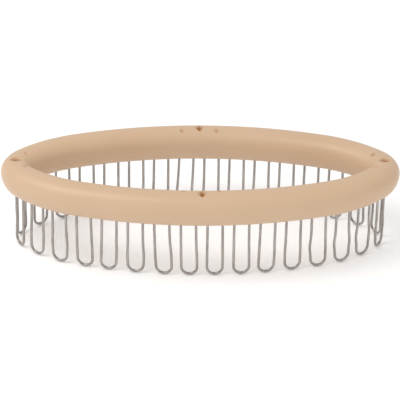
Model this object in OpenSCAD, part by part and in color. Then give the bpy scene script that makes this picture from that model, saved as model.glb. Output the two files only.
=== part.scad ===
// Oval hand knitting loom: one moulded ring with a row of bent wire loops set in its underside.
// X runs along the ring, Y across it and Z up. The lowest points of the loops lie at Z = 0,
// and the origin is midway between the ring's ends and sides.

/* [Ring plan] */
// Length of the ring over its outer faces
ring_length = 150; // [144:1:158]
// Width of the ring over its outer faces
ring_width = 65; // [61:1:69]
// Radius of the tight bend at each end, to the middle of the bar
end_radius = 9.4; // [8.6:0.1:10.4]
// Turn of the long side's shallow bend, counted from its middle, in degrees
side_turn = 18.5; // [17:0.5:20]
// Turn of the fuller bend between the long side and the end, in degrees
corner_turn = 28.7; // [27:0.5:30]

/* [Ring bar] */
// Width of the bar at its widest level
bar_width = 11.6; // [10.8:0.2:12.4]
// Height of the crown above the widest level
crown_rise = 5.2; // [4.8:0.1:5.5]
// Drop of the keel below the widest level
keel_drop = 8.1; // [7.6:0.1:8.6]
// Radius of the crown's arc
crown_radius = 7.5; // [6.8:0.1:8.4]
// Radius of the keel's arc
keel_radius = 3; // [2.6:0.1:3.4]

/* [Wire loops] */
// Number of loops round the ring, the same on every quarter
loop_count = 32; // [28:4:36]
// Diameter of the wire
wire_d = 1; // [0.8:0.05:1.2]
// Distance between the two legs of a loop, centre to centre
leg_spacing = 5.54; // [5:0.05:6]
// Length of a loop that shows below the keel
loop_reach = 21.2; // [16:0.5:26]
// Depth of the leg in the ring, from the keel
seat_depth = 7; // [5:0.5:8]
// Gap round a leg in its hole
hole_clearance = 0.05; // [0.02:0.01:0.1]

/* [Yarn notches] */
// Depth of the V notch at each end and side, at the top of the crown
notch_depth = 1.7; // [1.2:0.1:2]
// Width of the V notch's steep slot
notch_width = 3.2; // [2.6:0.1:3.8]
// Length of the V notch across the bar
notch_length = 5; // [4.2:0.1:5.6]
// Width of the V notch over its flared lips
lip_width = 4.6; // [4.2:0.1:5.4]
// Depth at which the flared lips would meet
lip_depth = 0.75; // [0.5:0.05:0.95]
// Depth of the small notches beside each V notch
nick_depth = 0.8; // [0.6:0.1:1.1]
// Width of a small notch
nick_width = 2.4; // [1.8:0.1:2.8]
// Length of a small notch across the bar
nick_length = 3.2; // [2.8:0.1:3.8]
// Distance from a V notch to the small ones, along the bar
nick_offset = 6.8; // [6.2:0.1:7.4]
// Lean of a small notch to the inner side of the crown, in degrees
nick_lean = 15; // [10:1:20]

/* [Hidden] */
$fn = 96;
// Middle line of the bar: three tangent arcs in each quarter
half_length = (ring_length - bar_width) / 2;
half_width = (ring_width - bar_width) / 2;
full_turn = side_turn + corner_turn;
long_gap = half_length - end_radius * (1 - sin(full_turn));
short_gap = half_width - end_radius * cos(full_turn);
sine_step = sin(full_turn) - sin(side_turn);
cosine_step = cos(side_turn) - cos(full_turn);
plan_det = sin(side_turn) * cosine_step - sine_step * (1 - cos(side_turn));
side_radius = (long_gap * cosine_step - short_gap * sine_step) / plan_det;
corner_radius = (short_gap * sin(side_turn) - long_gap * (1 - cos(side_turn))) / plan_det;
end_turn = 90 - full_turn;
side_centre = [0, side_radius - half_width];
corner_centre = side_centre + (side_radius - corner_radius) * [sin(side_turn), -cos(side_turn)];
end_centre = [half_length - end_radius, 0];
// Lengths along the middle line, from the middle of the long side
side_arc = side_radius * side_turn * PI / 180;
corner_arc = corner_radius * corner_turn * PI / 180;
end_arc = end_radius * end_turn * PI / 180;
quarter_arc = side_arc + corner_arc + end_arc;
loop_pitch = 4 * quarter_arc / loop_count;
// Section of the bar: crown, two shoulders, two flanks and keel, each arc tangent to the next
half_bar = bar_width / 2;
crown_sum = 2 * crown_radius * crown_rise - crown_rise * crown_rise - half_bar * half_bar;
shoulder_radius = crown_sum / (2 * (crown_radius - half_bar));
keel_sum = half_bar * half_bar + keel_drop * keel_drop - 2 * keel_drop * keel_radius;
flank_radius = keel_sum / (2 * (half_bar - keel_radius));
shoulder_angle = acos((half_bar - shoulder_radius) / (crown_radius - shoulder_radius));
flank_angle = acos((flank_radius - half_bar) / (flank_radius - keel_radius));
// Heights
keel_level = loop_reach;
widest_level = keel_level + keel_drop;
crown_level = widest_level + crown_rise;
crown_centre_level = crown_level - crown_radius;
seat_level = keel_level + seat_depth;
bend_radius = leg_spacing / 2;
bend_level = bend_radius + wire_d / 2;
hole_d = wire_d + 2 * hole_clearance;
// How far a corner bend enters its neighbours, and how much it is drawn in there
bend_overlap = 0.3;
bend_step = 0.01;

ring_colour = [0.90, 0.79, 0.66];
wire_colour = [0.66, 0.63, 0.61];

loop_numbers = [for (i = [1 : loop_count]) i];

function loop_name(i) = str("loop_", i < 10 ? "0" : "", i);

// Angle of the bar's outward side at arc length s from the front's middle, within one quarter
function quarter_turn(s) =
    s < side_arc ? s / side_arc * side_turn
    : s < side_arc + corner_arc ? side_turn + (s - side_arc) / corner_arc * corner_turn
    : full_turn + (s - side_arc - corner_arc) / end_arc * end_turn;

// Point of the middle line where the bar has turned by t, in the front right quarter
function quarter_point(t) =
    t < side_turn ? side_centre + side_radius * [sin(t), -cos(t)]
    : t < full_turn ? corner_centre + corner_radius * [sin(t), -cos(t)]
    : end_centre + end_radius * [sin(t), -cos(t)];

// The same for any arc length, anticlockwise seen from above
function ring_turn(s) =
    let (q = floor(s / quarter_arc), r = s - q * quarter_arc)
    q % 2 == 0 ? 90 * q + quarter_turn(r) : 90 * (q + 1) - quarter_turn(quarter_arc - r);

function ring_point(s) =
    let (q = floor(s / quarter_arc), r = s - q * quarter_arc,
        p = quarter_point(quarter_turn(q % 2 == 0 ? r : quarter_arc - r)))
    [(q == 1 || q == 0 ? 1 : -1) * p[0], (q == 0 || q == 3 ? 1 : -1) * p[1]];

// Puts a piece on the middle line: its X along the bar, its Y to the inside
module on_ring(s) {
    translate(concat(ring_point(s), [0]))
        rotate([0, 0, ring_turn(s)])
        children();
}

// Points of an arc, without its last one
function arc_points(centre, radius, from, to, steps) =
    [for (k = [0 : steps - 1]) centre + radius * [cos(from + (to - from) * k / steps),
        sin(from + (to - from) * k / steps)]];

// Section of the bar from its six arcs, drawn in by a small amount where one bend enters the next
module section(inset) {
    shoulder = shoulder_radius - inset;
    flank = flank_radius - inset;
    right_shoulder = [half_bar - shoulder_radius, 0];
    right_flank = [half_bar - flank_radius, 0];
    translate([0, widest_level])
        polygon(concat(
            arc_points(right_shoulder, shoulder, 0, shoulder_angle, 8),
            arc_points([0, crown_rise - crown_radius], crown_radius - inset,
                shoulder_angle, 180 - shoulder_angle, 4),
            arc_points(-right_shoulder, shoulder, 180 - shoulder_angle, 180, 8),
            arc_points(-right_flank, flank, 180, 180 + flank_angle, 7),
            arc_points([0, keel_radius - keel_drop], keel_radius - inset,
                180 + flank_angle, 360 - flank_angle, 8),
            arc_points(right_flank, flank, 360 - flank_angle, 360, 7)));
}

// One bend of the bar round a centre, from one angle to another
module bend(centre, radius, from, to, inset = 0) {
    translate([centre[0], centre[1], 0])
        rotate([0, 0, from])
        rotate_extrude(angle = to - from)
        translate([radius, 0])
        section(inset);
}

module bar() {
    overlap = bend_overlap / corner_radius * 180 / PI;
    from = -90 + side_turn - overlap;
    to = -90 + full_turn + overlap;
    for (side = [0, 180])
        rotate([0, 0, side]) {
            bend(side_centre, side_radius, -90 - side_turn, -90 + side_turn);
            bend(end_centre, end_radius, -end_turn, end_turn);
            bend(corner_centre, corner_radius, from, to, bend_step);
            bend([-corner_centre[0], corner_centre[1]], corner_radius, -180 - to, -180 - from, bend_step);
        }
}

// Double cone that cuts a V groove of the given depth, width and length into the crown
module groove(depth, width, length) {
    crown_fall = crown_radius - sqrt(crown_radius * crown_radius - length * length / 4);
    cut = depth - crown_fall;
    radius = (length * length / 4 + cut * cut) / (2 * cut);
    reach = radius * width / 2 / depth;
    translate([0, 0, crown_level - depth + radius])
        for (side = [-90, 90])
            rotate([0, side, 0])
                cylinder(h = reach, r1 = radius, r2 = 0);
}

module v_notch() {
    groove(notch_depth, notch_width, notch_length);
    groove(lip_depth, lip_width, notch_length);
}

module nick() {
    translate([0, 0, crown_centre_level])
        rotate([-nick_lean, 0, 0])
        translate([0, 0, -crown_centre_level])
        groove(nick_depth, nick_width, nick_length);
}

module legs(d, from, to) {
    for (side = [-1, 1])
        translate([side * leg_spacing / 2, 0, from])
            cylinder(h = to - from, d = d);
}

module ring() {
    color(ring_colour)
        difference() {
            bar();
            for (i = loop_numbers)
                on_ring((i - 0.5) * loop_pitch)
                    legs(hole_d, keel_level - wire_d, seat_level);
            for (q = [0 : 3]) {
                on_ring(q * quarter_arc)
                    v_notch();
                for (side = [-1, 1])
                    on_ring((q == 0 && side < 0 ? 4 : q) * quarter_arc + side * nick_offset)
                        nick();
            }
        }
}

// Wire bent to a U, with both ends at the bottom of their holes
module loop(i) {
    color(wire_colour)
        on_ring((i - 0.5) * loop_pitch) {
            legs(wire_d, bend_level, seat_level);
            translate([0, 0, bend_level])
                rotate([90, 0, 0])
                rotate([0, 0, 180])
                rotate_extrude(angle = 180)
                translate([bend_radius, 0])
                circle(d = wire_d);
        }
}

ring();
for (i = loop_numbers)
    loop(i);
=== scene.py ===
from math import acos, cos, exp, pi, radians, sin, sqrt

import bmesh
import bpy
from mathutils import Matrix, Vector


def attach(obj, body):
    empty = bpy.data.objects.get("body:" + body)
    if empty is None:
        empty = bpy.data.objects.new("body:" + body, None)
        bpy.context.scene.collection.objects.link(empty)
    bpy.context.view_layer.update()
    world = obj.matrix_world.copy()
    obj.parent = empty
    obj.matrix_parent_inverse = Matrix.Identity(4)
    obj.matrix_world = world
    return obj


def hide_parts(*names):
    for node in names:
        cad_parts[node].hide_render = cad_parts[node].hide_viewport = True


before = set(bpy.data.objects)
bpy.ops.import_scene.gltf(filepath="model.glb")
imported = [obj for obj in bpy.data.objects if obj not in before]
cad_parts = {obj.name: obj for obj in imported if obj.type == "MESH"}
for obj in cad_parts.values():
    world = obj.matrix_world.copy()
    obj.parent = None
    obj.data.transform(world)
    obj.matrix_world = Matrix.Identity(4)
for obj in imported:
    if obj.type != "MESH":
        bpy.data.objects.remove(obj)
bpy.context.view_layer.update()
mm = 0.001


def deselectAll():
    for other in bpy.context.selected_objects:
        other.select_set(False)


def useOnly(piece):
    deselectAll()
    piece.select_set(True)
    bpy.context.view_layer.objects.active = piece


# the plan of the loom: three tangent arcs in each quarter, as in the solid
plan = {
    "length": 150.0,       # over the outer faces
    "width": 65.0,
    "endRadius": 9.4,      # to the middle of the bar
    "sideTurn": 18.5,      # degrees
    "cornerTurn": 28.7,
    "loops": 32,
}

# the bar's section: six tangent arcs
bar = {
    "width": 11.6,
    "crownRise": 5.2,
    "keelDrop": 8.1,
    "crownRadius": 7.5,
    "keelRadius": 3.0,
    "keelLevel": 21.2,     # height of the keel over the loops' bottoms
    "shoulderSteps": 22,
    "crownSteps": 18,
    "flankSteps": 9,
    "keelSteps": 8,
    "coarseStep": 1.3,     # mm along the bar
    "fineStep": 0.16,      # mm along the bar near a notch
    "fineReach": 9.6,      # mm either side of a V notch
    "notchedRise": 1.5,    # mm above the widest level from which the crown is notched
}
widestLevel = bar["keelLevel"] + bar["keelDrop"]
crownTop = widestLevel + bar["crownRise"]


def planArcs():
    a = (plan["length"] - bar["width"]) / 2
    b = (plan["width"] - bar["width"]) / 2
    t1 = radians(plan["sideTurn"])
    t2 = t1 + radians(plan["cornerTurn"])
    end = plan["endRadius"]
    p = a - end * (1 - sin(t2))
    q = b - end * cos(t2)
    det = sin(t1) * (cos(t1) - cos(t2)) - (sin(t2) - sin(t1)) * (1 - cos(t1))
    side = (p * (cos(t1) - cos(t2)) - q * (sin(t2) - sin(t1))) / det
    corner = (sin(t1) * q - (1 - cos(t1)) * p) / det
    sideCentre = Vector((0, side - b))
    cornerCentre = sideCentre + (side - corner) * Vector((sin(t1), -cos(t1)))
    # each arc: centre, radius, first and last turn from the front's middle
    return [
        (sideCentre, side, 0.0, t1),
        (cornerCentre, corner, t1, t2),
        (Vector((a - end, 0)), end, t2, pi / 2),
    ]


arcs = planArcs()
quarter = sum(radius * (last - first) for _, radius, first, last in arcs)
pitch = 4 * quarter / plan["loops"]


# point of the middle line and its turn, s mm from the front's middle
def quarterPoint(s):
    for centre, radius, first, last in arcs:
        if s <= radius * (last - first) or radius == arcs[-1][1]:
            turn = first + s / radius
            return centre + radius * Vector((sin(turn), -cos(turn))), turn
        s -= radius * (last - first)


# point, outward direction and tangent for any arc length, anticlockwise from above
def ringPoint(s):
    s %= 4 * quarter
    q = int(s // quarter)
    r = s - q * quarter
    point, turn = quarterPoint(r if q % 2 == 0 else quarter - r)
    turn = q * pi / 2 + turn if q % 2 == 0 else (q + 1) * pi / 2 - turn
    point = Vector((point.x * (1 if q in (0, 1) else -1), point.y * (1 if q in (0, 3) else -1)))
    return point, Vector((sin(turn), -cos(turn))), Vector((cos(turn), sin(turn)))


# section as (outward, height) pairs, closed, from the outer widest point over the crown
def sectionPoints():
    half = bar["width"] / 2
    rise, drop = bar["crownRise"], bar["keelDrop"]
    crown, keel = bar["crownRadius"], bar["keelRadius"]
    shoulder = (2 * crown * rise - rise ** 2 - half ** 2) / (2 * (crown - half))
    flank = (half ** 2 + drop ** 2 - 2 * drop * keel) / (2 * (half - keel))
    alpha = acos((half - shoulder) / (crown - shoulder))
    gamma = acos((flank - half) / (flank - keel))
    runs = [
        ((half - shoulder, 0), shoulder, 0, alpha, bar["shoulderSteps"]),
        ((0, rise - crown), crown, alpha, pi - alpha, bar["crownSteps"]),
        ((shoulder - half, 0), shoulder, pi - alpha, pi, bar["shoulderSteps"]),
        ((flank - half, 0), flank, pi, pi + gamma, bar["flankSteps"]),
        ((0, keel - drop), keel, pi + gamma, 2 * pi - gamma, bar["keelSteps"]),
        ((half - flank, 0), flank, 2 * pi - gamma, 2 * pi, bar["flankSteps"]),
    ]
    points = []
    for (cx, cz), radius, first, last, steps in runs:
        for k in range(steps):
            t = first + (last - first) * k / steps
            points.append((cx + radius * cos(t), widestLevel + cz + radius * sin(t)))
    return points


# the notches of the crown: a V at each end and side, with a small one on both sides of it
notches = {
    "depth": 1.7, "slotWidth": 3.2, "length": 5.0,
    "lipWidth": 4.9, "lipDepth": 0.8,
    "nickDepth": 0.8, "nickWidth": 2.5, "nickLength": 3.2,
    "nickOffset": 6.8, "nickLean": 15.0,
    "nickReach": 3.0,      # mm along the bar that a small notch can touch
    "softness": 0.10,      # mm over which the lips are rounded
    "shadeDepth": 1.2,     # mm of depth at which a V notch's painted shade is darkest
    "nickShadeDepth": 1.6,
}


# depth below the crown of a double cone's cut, negative outside it
def grooveDepth(along, across, depth, width, length):
    crown = bar["crownRadius"]
    cut = depth - (crown - sqrt(crown ** 2 - length ** 2 / 4))
    radius = (length ** 2 / 4 + cut ** 2) / (2 * cut)
    here = radius - abs(along) * depth / (width / 2)
    if here <= abs(across):
        return -1.0
    return depth - radius + sqrt(here ** 2 - across ** 2)


# how far the surface sinks where a cut is this much deeper than it, with rounded lips
def softSink(over):
    soft = notches["softness"]
    return max(0.0, (over + sqrt(over ** 2 + soft ** 2)) / 2 - soft / 2)


# how far a point of the crown sinks, and how dark the painted shade of the notch is there, 0 to 1
def notchMove(along, across, height):
    slot = grooveDepth(along, across, notches["depth"], notches["slotWidth"], notches["length"])
    lips = grooveDepth(along, across, notches["lipDepth"], notches["lipWidth"], notches["length"])
    sink = softSink(max(slot, lips) - (crownTop - height))
    paintedShade = min(1.0, sink / notches["shadeDepth"])
    lean = radians(notches["nickLean"])
    rise = height - (crownTop - bar["crownRadius"])
    for side in (-1, 1):
        beside = along - side * notches["nickOffset"]
        if abs(beside) > notches["nickReach"]:
            continue
        u = across * cos(lean) - rise * sin(lean)
        v = across * sin(lean) + rise * cos(lean)
        cut = grooveDepth(beside, u, notches["nickDepth"], notches["nickWidth"], notches["nickLength"])
        small = softSink(cut - (bar["crownRadius"] - v))
        sink = max(sink, small)
        paintedShade = max(paintedShade, min(1.0, small / notches["nickShadeDepth"]))
    return sink, paintedShade


# arc lengths of the rings of points, close together near the notches
def barStations():
    stations = []
    for q in range(4):
        start = q * quarter
        fine = bar["fineReach"]
        count = int(fine / bar["fineStep"])
        coarse = int((quarter - 2 * fine) / bar["coarseStep"])
        stations += [start + fine * k / count for k in range(count)]
        stations += [start + fine + (quarter - 2 * fine) * k / coarse for k in range(coarse)]
        stations += [start + quarter - fine + fine * k / count for k in range(count)]
    return stations


# turns a mesh's faces outwards and puts it in the scene, alone selected
def finishMesh(name, build):
    bmesh.ops.recalc_face_normals(build, faces=build.faces)
    mesh = bpy.data.meshes.new(name)
    build.to_mesh(mesh)
    build.free()
    piece = bpy.data.objects.new(name, mesh)
    bpy.context.scene.collection.objects.link(piece)
    useOnly(piece)
    return piece


def makeRing():
    section = sectionPoints()
    n = len(section)
    build = bmesh.new()
    paintedShades = []
    rings = []
    for s in barStations():
        point, outward, _ = ringPoint(s)
        along = s - round(s / quarter) * quarter
        ring = []
        for out, height in section:
            sink, paintedShade = 0.0, 0.0
            if abs(along) < bar["fineReach"] and height > widestLevel + bar["notchedRise"]:
                sink, paintedShade = notchMove(along, -out, height)
            base = point + outward * out
            ring.append(build.verts.new((base.x * mm, base.y * mm, (height - sink) * mm)))
            paintedShades.append(paintedShade)
        rings.append(ring)
    for k, ring in enumerate(rings):
        other = rings[(k + 1) % len(rings)]
        for j in range(n):
            build.faces.new((ring[j], other[j], other[(j + 1) % n], ring[(j + 1) % n]))
    piece = finishMesh("ringBody", build)
    # the shader paints shade into the notches where this attribute says
    layer = piece.data.attributes.new("notch", "FLOAT", "POINT")
    layer.data.foreach_set("value", paintedShades)
    bpy.ops.object.shade_smooth()
    return piece


# the wire loops, with the small bends of the ones in the photograph
wire = {
    "diameter": 1.0,
    "legSpacing": 5.54,
    "seat": 6.8,           # mm of leg inside the ring
    "sides": 14,
    "legSteps": 26,
    "bendSteps": 22,
    "spread": 0.14,        # mm that each leg stands out at the bottom
    "bowLength": 3.4,      # mm of height over which a bow dies away
    "leanCurve": 1.4,      # 1 leans a loop straight, more bends it towards the bottom
    "creaseAngle": 50.0,   # degrees, past which an edge stays sharp
}

# how each loop was bent by hand, in mm: its lean along the bar at the bottom, the bow of its first
# and second leg, and the height of that bow; counted from the front's middle, anticlockwise from above
# (9 to 24, behind, show only in part, and the rest of their bends is guessed)
handBends = {
    1: (0.13, 0.00, 0.05, 7.0), 2: (0.24, 0.00, 0.05, 7.0), 3: (-0.35, 0.00, 0.10, 7.0),
    4: (0.00, -0.15, 0.10, 8.0), 5: (0.34, -0.45, 0.10, 8.5), 6: (0.35, -0.50, 0.35, 8.5),
    7: (0.10, -0.55, 0.40, 9.0), 8: (0.00, -0.35, 0.30, 8.0), 9: (0.20, 0.10, -0.20, 9.0),
    10: (-0.20, 0.15, 0.10, 8.0), 11: (0.10, -0.10, 0.15, 7.0), 12: (0.25, 0.00, -0.10, 9.0),
    13: (-0.10, 0.10, 0.10, 8.0), 14: (0.15, -0.10, 0.10, 7.0), 15: (0.05, 0.00, 0.05, 7.0),
    16: (-0.10, 0.05, 0.10, 7.0), 17: (1.00, 0.00, 0.05, 8.0), 18: (0.15, 0.00, 0.05, 8.0),
    19: (-0.10, 0.10, 0.05, 7.0), 20: (0.10, 0.00, -0.10, 8.0), 21: (0.05, 0.10, 0.00, 8.0),
    22: (-0.20, -0.10, 0.15, 7.0), 23: (0.20, -0.20, 0.10, 9.0), 24: (0.30, 0.20, -0.15, 9.0),
    25: (-0.45, 0.35, 0.00, 10.0), 26: (-0.50, -0.15, 0.15, 8.0), 27: (0.15, -0.20, 0.25, 8.0),
    28: (0.45, -0.05, 0.10, 8.0), 29: (-0.45, 0.05, 0.15, 7.0), 30: (0.15, -0.15, 0.25, 7.0),
    31: (1.05, -0.05, 0.20, 8.0), 32: (0.55, 0.00, 0.10, 7.0),
}


# middle line of a straight loop in its own plane: (along the bar, height)
def loopPath():
    half = wire["legSpacing"] / 2
    low = half + wire["diameter"] / 2
    high = bar["keelLevel"] + wire["seat"]
    path = [(-half, high + (low - high) * k / wire["legSteps"]) for k in range(wire["legSteps"])]
    for k in range(wire["bendSteps"] + 1):
        t = pi + pi * k / wire["bendSteps"]
        path.append((half * cos(t), low + half * sin(t)))
    path += [(half, low + (high - low) * (k + 1) / wire["legSteps"]) for k in range(wire["legSteps"])]
    return path


def makeLoop(number, path):
    lean, bowFirst, bowSecond, bowHeight = handBends[number]
    point, outward, tangent = ringPoint((number - 0.5) * pitch)
    base = Vector((point.x, point.y, 0))
    along = Vector((tangent.x, tangent.y, 0))
    normal = Vector((outward.x, outward.y, 0))
    keel = bar["keelLevel"]
    middle = []
    for x, z in path:
        drop = min(1.0, max(0.0, (keel - z) / keel))
        bow = exp(-((z - bowHeight) / wire["bowLength"]) ** 2)
        leg = x / (wire["legSpacing"] / 2)
        shift = lean * drop ** wire["leanCurve"] + wire["spread"] * drop * leg
        shift += (bowFirst if x < 0 else bowSecond) * bow * abs(leg)
        middle.append(base + along * (x + shift) + Vector((0, 0, z)))
    build = bmesh.new()
    sides = wire["sides"]
    rings = []
    for k, centre in enumerate(middle):
        direction = (middle[min(k + 1, len(middle) - 1)] - middle[max(k - 1, 0)]).normalized()
        side = direction.cross(normal).normalized()
        ring = []
        for j in range(sides):
            t = 2 * pi * j / sides
            p = centre + (normal * cos(t) + side * sin(t)) * wire["diameter"] / 2
            ring.append(build.verts.new(p * mm))
        rings.append(ring)
    for one, two in zip(rings, rings[1:]):
        for j in range(sides):
            build.faces.new((one[j], one[(j + 1) % sides], two[(j + 1) % sides], two[j]))
    build.faces.new(rings[0])
    build.faces.new(list(reversed(rings[-1])))
    piece = finishMesh(f"wireLoop{number:02d}", build)
    bpy.ops.object.shade_smooth_by_angle(angle=radians(wire["creaseAngle"]))
    return piece


# a shader value: + and * add Math nodes, with numbers on either side
class Sock:
    def __init__(self, shader, socket):
        self.shader = shader
        self.socket = socket

    def math(self, operation, other):
        return self.shader.node("ShaderNodeMath", {"operation": operation}, {0: self, 1: other})

    def __add__(self, other):
        return self.math("ADD", other)

    __radd__ = __add__

    def __mul__(self, other):
        return self.math("MULTIPLY", other)

    __rmul__ = __mul__


class Shader:
    def __init__(self, name):
        self.material = bpy.data.materials.new(name)
        self.material.use_nodes = True
        self.tree = self.material.node_tree
        self.shader = next(n for n in self.tree.nodes if n.type == "BSDF_PRINCIPLED")

    # any node: its settings first, then the values or links of its sockets
    def node(self, kind, settings, sockets, out=0):
        made = self.tree.nodes.new(kind)
        for key, value in settings.items():
            setattr(made, key, value)
        for key, value in sockets.items():
            self.put(made.inputs[key], value)
        return Sock(self, made.outputs[out])

    def put(self, target, value):
        if isinstance(value, Sock):
            self.tree.links.new(value.socket, target)
        else:
            target.default_value = value

    # 6 and 7 are a Mix node's colour inputs, 2 its colour output
    def mix(self, factor, one, two):
        sockets = {"Factor": factor, 6: one, 7: two}
        return self.node("ShaderNodeMix", {"data_type": "RGBA"}, sockets, 2)

    def noise(self, place, scale, detail):
        return self.node("ShaderNodeTexNoise", {}, {"Vector": place, "Scale": scale, "Detail": detail})

    def set(self, name, value):
        self.put(self.shader.inputs[name], value)


plastic = {
    "cream": (0.60, 0.405, 0.255, 1),
    "creamPale": (0.645, 0.455, 0.30, 1),
    # painted shade in the notches, a dark orange-brown
    "notchTint": (0.40, 0.18, 0.045, 1),
    "cloudScale": 28.0, "cloudDetail": 2.0,       # broad, faint changes of colour and gloss
    "grainScale": 2600.0, "grainDetail": 2.0,     # the mould's fine grain
    "grainStrength": 0.05, "grainHeight": 0.0001,
    "roughness": 0.34, "cloudRoughness": 0.08,
    "specular": 0.45,
}


def creamPlastic():
    s = Shader("creamPlastic")
    place = s.node("ShaderNodeTexCoord", {}, {}, "Object")
    cloud = s.noise(place, plastic["cloudScale"], plastic["cloudDetail"])
    grain = s.noise(place, plastic["grainScale"], plastic["grainDetail"])
    notch = s.node("ShaderNodeAttribute", {"attribute_name": "notch"}, {}, "Fac")
    body = s.mix(cloud, plastic["cream"], plastic["creamPale"])
    # the notches' painted shade darkens the plastic's colour where the attribute says
    s.set("Base Color", s.mix(notch, body, plastic["notchTint"]))
    s.set("Roughness", plastic["roughness"] + plastic["cloudRoughness"] * cloud)
    relief = {"Height": grain, "Strength": plastic["grainStrength"], "Distance": plastic["grainHeight"]}
    s.set("Normal", s.node("ShaderNodeBump", {}, relief))
    s.set("Specular IOR Level", plastic["specular"])
    return s.material


steel = {
    # the two ends of the wire's streaks: its own grey, with painted dark and bright reflections
    "darkReflection": (0.16, 0.142, 0.13, 1),
    "brightReflection": (0.58, 0.54, 0.51, 1),
    "stretch": (1.0, 1.0, 0.12),                  # draws the painted reflection streaks out along the legs
    "streakScale": 1800.0, "streakDetail": 3.0,
    "metallic": 1.0,
    "roughness": 0.2, "streakRoughness": 0.14,
}


def drawnWire():
    s = Shader("drawnWire")
    place = s.node("ShaderNodeTexCoord", {}, {}, "Object")
    stretched = s.node("ShaderNodeMapping", {}, {"Vector": place, "Scale": steel["stretch"]})
    reflectionStreak = s.noise(stretched, steel["streakScale"], steel["streakDetail"])
    # painted dark and bright reflection streaks along the wire, over its own grey
    s.set("Base Color", s.mix(reflectionStreak, steel["darkReflection"], steel["brightReflection"]))
    s.set("Metallic", steel["metallic"])
    s.set("Roughness", steel["roughness"] + steel["streakRoughness"] * reflectionStreak)
    return s.material


ringPiece = makeRing()
ringPiece.data.materials.append(creamPlastic())
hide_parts("ring")
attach(ringPiece, "root")
print("ring made")

wireMaterial = drawnWire()
straight = loopPath()
for number in range(1, plan["loops"] + 1):
    loop = makeLoop(number, straight)
    loop.data.materials.append(wireMaterial)
    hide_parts(f"loop_{number:02d}")
    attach(loop, "root")
print("loops made")

# the photograph's view
view = {
    "elevation": 27.87, "azimuth": -1.59, "roll": 0.877,      # degrees
    "pixelDistance": 2103.5,                                  # camera to loom, in the photograph's pixels
    "mmPerPixel": 0.3765,
    "centre": (200.61, 174.02),                               # pixel that the camera aims at
    "image": 400.0,                                           # pixels each way
    "aimHeight": 28.2,                                        # mm over the loops' bottoms
    "sensor": 36.0,
    "near": 0.01, "far": 20.0,                                # m
}


def makeCamera():
    data = bpy.data.cameras.new("photoCamera")
    camera = bpy.data.objects.new("photoCamera", data)
    bpy.context.scene.collection.objects.link(camera)
    e, a, roll = radians(view["elevation"]), radians(view["azimuth"]), radians(view["roll"])
    forward = Vector((-sin(a) * cos(e), cos(a) * cos(e), -sin(e)))
    right = Vector((cos(a), sin(a), 0))
    up = right.cross(forward)
    turnedRight = cos(roll) * right + sin(roll) * up
    turnedUp = -sin(roll) * right + cos(roll) * up
    distance = view["pixelDistance"] * view["mmPerPixel"] * mm
    place = Vector((0, 0, view["aimHeight"] * mm)) - distance * forward
    turn = Matrix((turnedRight, turnedUp, -forward)).transposed().to_4x4()
    camera.matrix_world = Matrix.Translation(place) @ turn
    data.sensor_width = view["sensor"]
    data.lens = view["sensor"] * view["pixelDistance"] / view["image"]
    data.clip_start = view["near"]
    data.clip_end = view["far"]
    half = view["image"] / 2
    data.shift_x = (half - view["centre"][0]) / view["image"]
    data.shift_y = (view["centre"][1] - half) / view["image"]
    bpy.context.scene.camera = camera


studio = {
    "floorColour": (0.98, 0.98, 0.98, 1), "floorRoughness": 0.9, "floorGlow": 0.1,
    "floorSize": 6.0,      # m
    "floorGap": 0.0002,    # m under the loops, so that no faces meet
    "worldColour": (1, 1, 1, 1), "worldStrength": 0.74,
    # power in W, place and size in m
    "lights": {
        "keyLight": (3.6, (-0.45, -0.2, 0.8), 0.6),
        "fillLight": (0.3, (0.6, -0.5, 0.5), 0.6),
    },
}


def makeStudio():
    deselectAll()
    bpy.ops.mesh.primitive_plane_add(size=studio["floorSize"], location=(0, 0, -studio["floorGap"]))
    floor = bpy.context.object
    floor.name = "studioFloor"
    s = Shader("floorWhite")
    s.set("Base Color", studio["floorColour"])
    s.set("Roughness", studio["floorRoughness"])
    s.set("Emission Color", studio["floorColour"])
    s.set("Emission Strength", studio["floorGlow"])
    floor.data.materials.append(s.material)
    world = bpy.data.worlds.new("studioWorld")
    world.use_nodes = True
    sky = world.node_tree.nodes["Background"]
    sky.inputs["Color"].default_value = studio["worldColour"]
    sky.inputs["Strength"].default_value = studio["worldStrength"]
    bpy.context.scene.world = world
    for name, (power, place, size) in studio["lights"].items():
        data = bpy.data.lights.new(name, "AREA")
        data.energy = power
        data.size = size
        light = bpy.data.objects.new(name, data)
        bpy.context.scene.collection.objects.link(light)
        light.location = place
        light.rotation_euler = (-Vector(place)).to_track_quat("-Z", "Y").to_euler()


makeCamera()
makeStudio()
bpy.context.scene.view_settings.view_transform = "Standard"
print("studio made")
